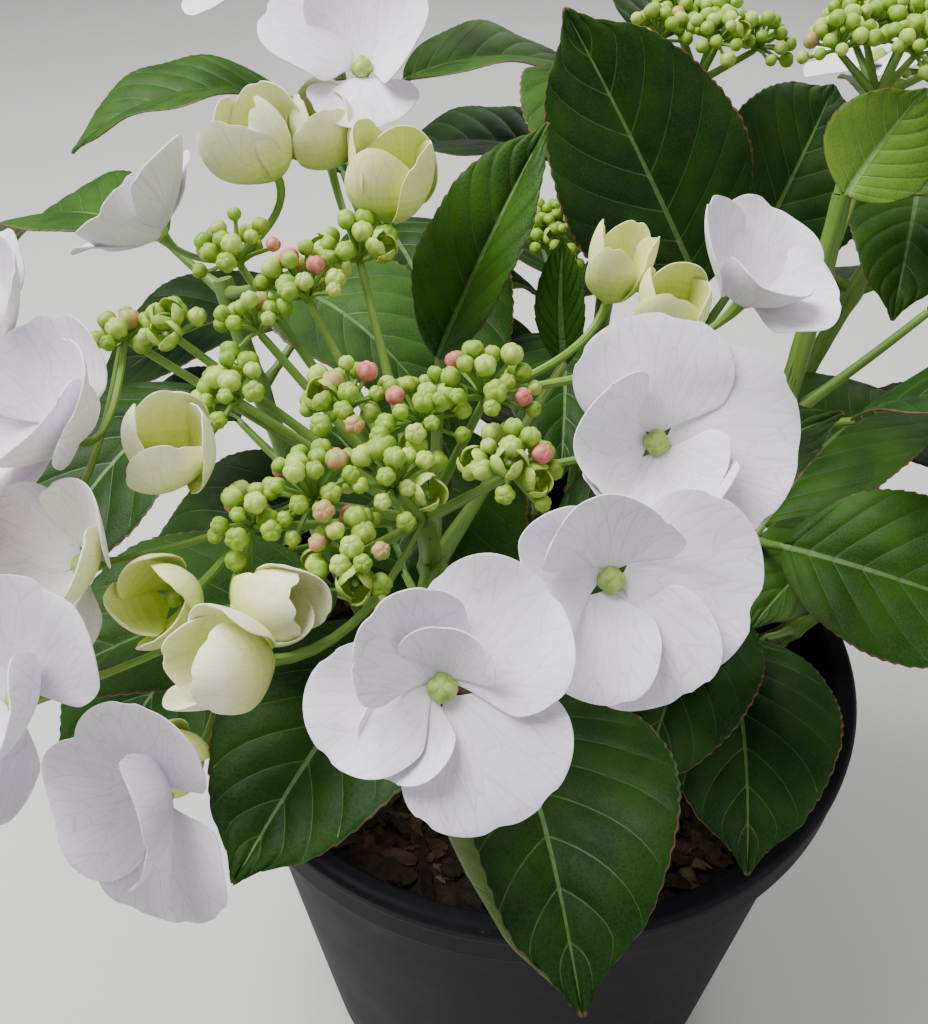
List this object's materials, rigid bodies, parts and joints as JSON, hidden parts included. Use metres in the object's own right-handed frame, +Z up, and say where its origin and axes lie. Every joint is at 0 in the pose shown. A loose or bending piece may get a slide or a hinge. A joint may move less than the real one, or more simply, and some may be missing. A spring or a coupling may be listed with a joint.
{
  "type": "potted hydrangea shrub",
  "caption": "Lacecap hydrangea in a round nursery pot: woody canes, green leafy shoots, open white flower heads and flat heads of green buds.",
  "frame": {"origin": "middle of the pot's flat underside", "axes": "+Z up; the fullest flower head leans towards -Y and -X, the side the picture was taken from; +X to the picture's right"},
  "size_m": [0.4479, 0.4796, 0.5242],
  "materials": {
    "pot": "smooth dark moulded plastic with a soft sheen",
    "potting_mix": "loose fibrous bark compost",
    "cane": "thin peeling bark",
    "flower": "soft petal",
    "bud": "soft matt buds",
    "leaf": "semi-gloss leaf with fine veins"
  },
  "bodies": {
    "root": {"pot": "pot", "potting_mix": "potting_mix", "cane_front": "cane", "cane_centre": "cane", "cane_right": "cane", "cane_back_low": "cane", "cane_back_left": "cane", "cane_left": "cane", "cane_back": "cane", "cane_back_right": "cane", "cane_low_right": "cane", "flower_head_front": "flower", "bud_head_right": "bud", "bud_head_centre": "bud", "bud_head_back_low": "bud", "bud_head_back_left": "bud", "flower_head_back": "flower", "bud_head_back_right": "bud", "leaves_front": "leaf", "leaves_centre": "leaf", "leaves_right": "leaf", "leaves_back_low": "leaf", "leaves_back_left": "leaf", "leaves_left": "leaf", "leaves_back": "leaf", "leaves_back_right": "leaf", "leaves_low_right": "leaf"}
  },
  "joints": []
}
